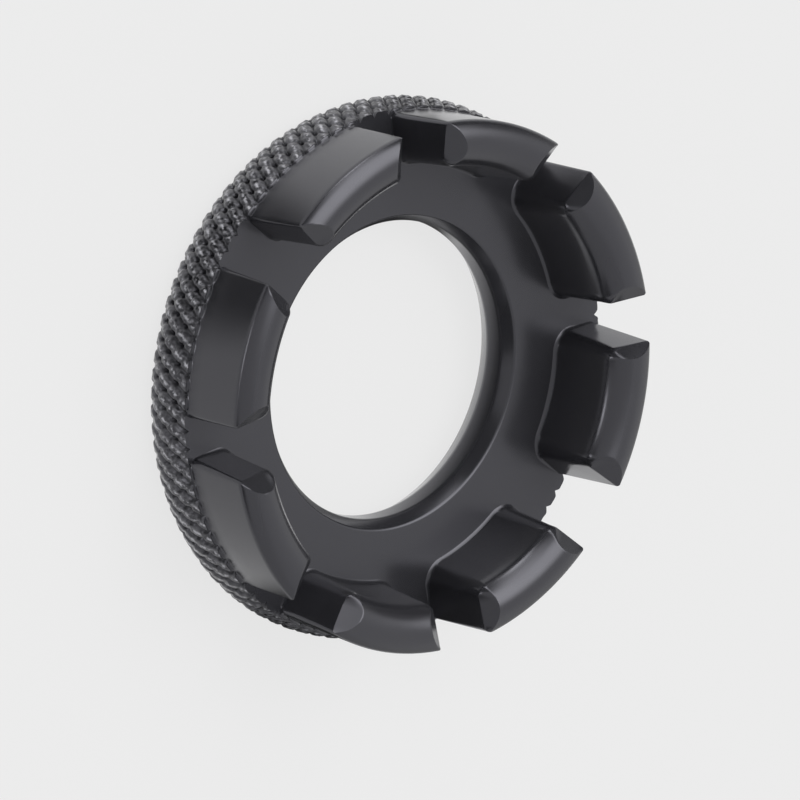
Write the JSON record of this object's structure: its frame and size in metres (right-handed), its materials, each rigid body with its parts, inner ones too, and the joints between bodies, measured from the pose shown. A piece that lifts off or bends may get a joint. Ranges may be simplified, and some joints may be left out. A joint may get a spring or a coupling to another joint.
{
  "type": "spoke wrench",
  "caption": "Round bicycle spoke wrench: a knurled ring with upright jaws on one face. The slots between them differ in width and grip spoke nipples.",
  "frame": {"origin": "centre of the flat back face, on the axis of the ring", "axes": "+Z along the ring's axis, from the back face towards the jaws; +X through the middle of slot 1"},
  "size_m": [0.042, 0.042, 0.0111],
  "materials": {
    "coated_steel": "satin black coating",
    "knurled_steel": "satin black coating over a diamond knurl"
  },
  "bodies": {
    "root": {"ring_body": "coated_steel", "knurled_rim": "knurled_steel", "jaw_1": "coated_steel", "jaw_2": "coated_steel", "jaw_3": "coated_steel", "jaw_4": "coated_steel", "jaw_5": "coated_steel", "jaw_6": "coated_steel", "jaw_7": "coated_steel", "jaw_8": "coated_steel"}
  },
  "joints": []
}
